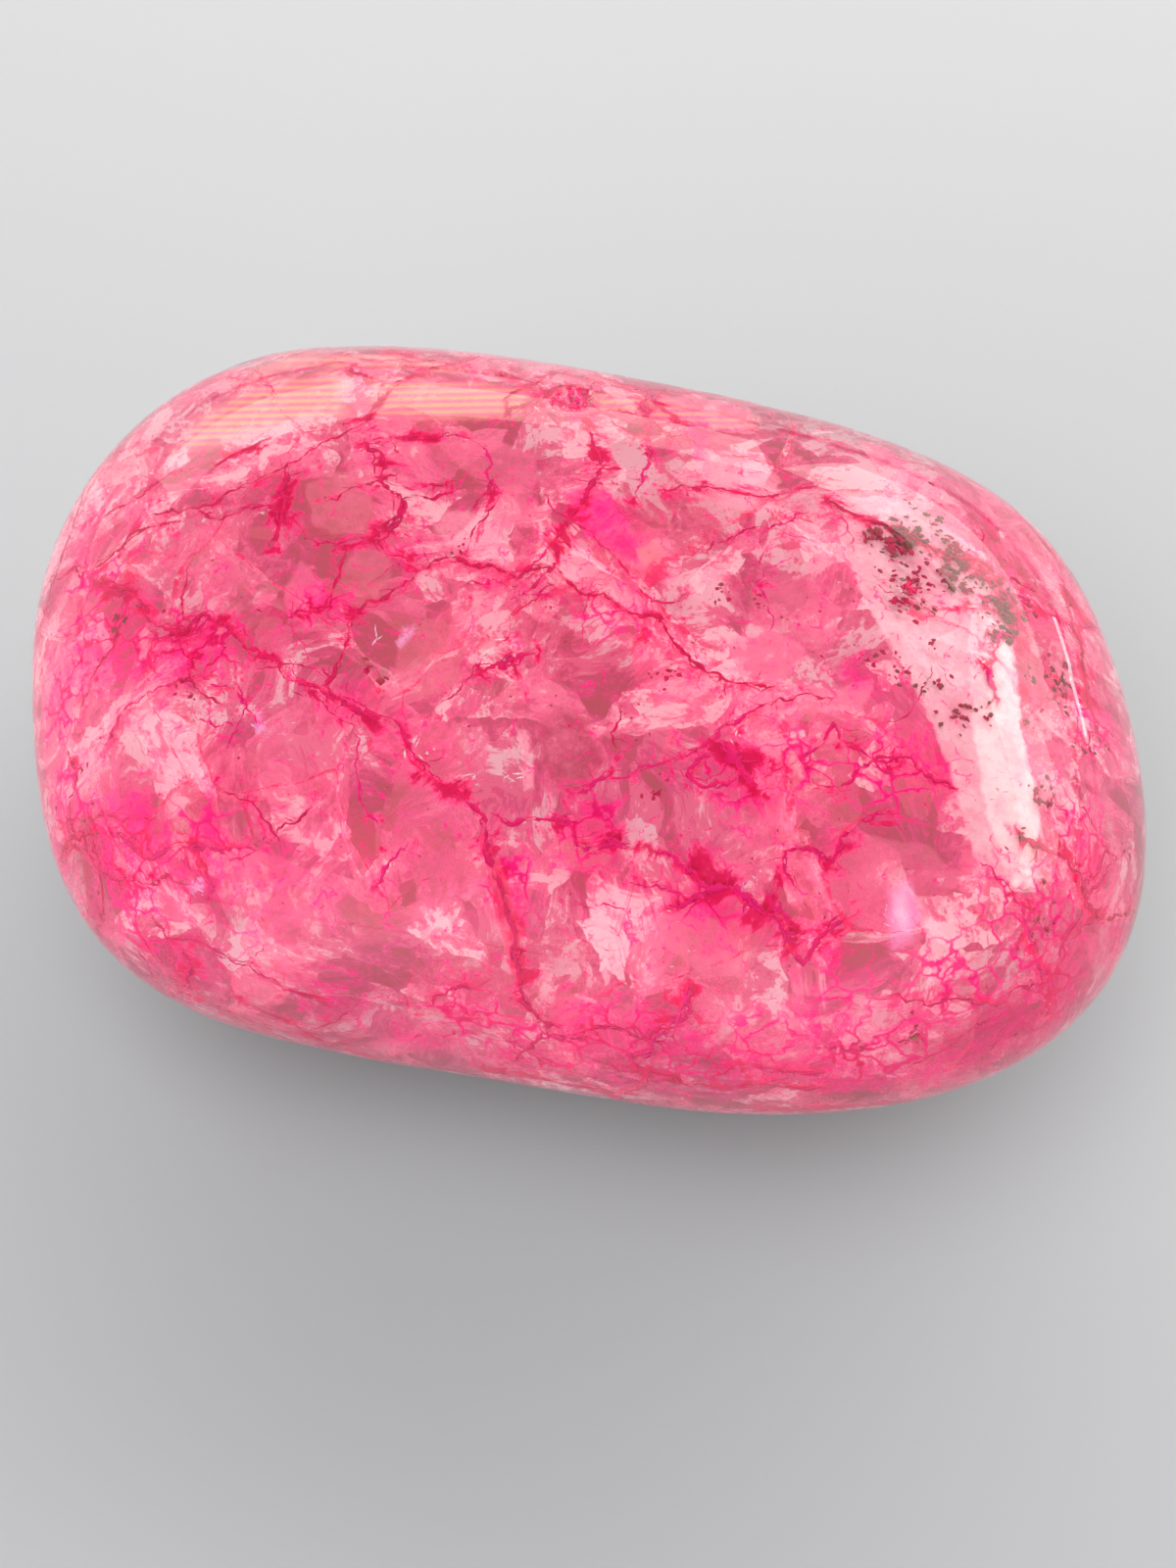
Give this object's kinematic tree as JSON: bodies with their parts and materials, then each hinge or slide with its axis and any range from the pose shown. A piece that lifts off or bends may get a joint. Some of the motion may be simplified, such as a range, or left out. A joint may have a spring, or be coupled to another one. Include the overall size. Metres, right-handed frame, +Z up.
{
  "type": "crackle quartz tumbled stone",
  "caption": "Polished, tumbled pebble of rose-dyed crackle quartz, a long rounded oblong that lies on a small rubbed flat.",
  "frame": {"origin": "middle of the outline seen from above, at the level that the stone rests on", "axes": "+Z up, +X along the stone's long axis towards its squarer end, +Y towards its back"},
  "size_m": [0.0396, 0.0262, 0.0173],
  "materials": {
    "rose_crackle_quartz": "polished"
  },
  "bodies": {
    "root": {"crackle_quartz": "rose_crackle_quartz"}
  },
  "joints": []
}
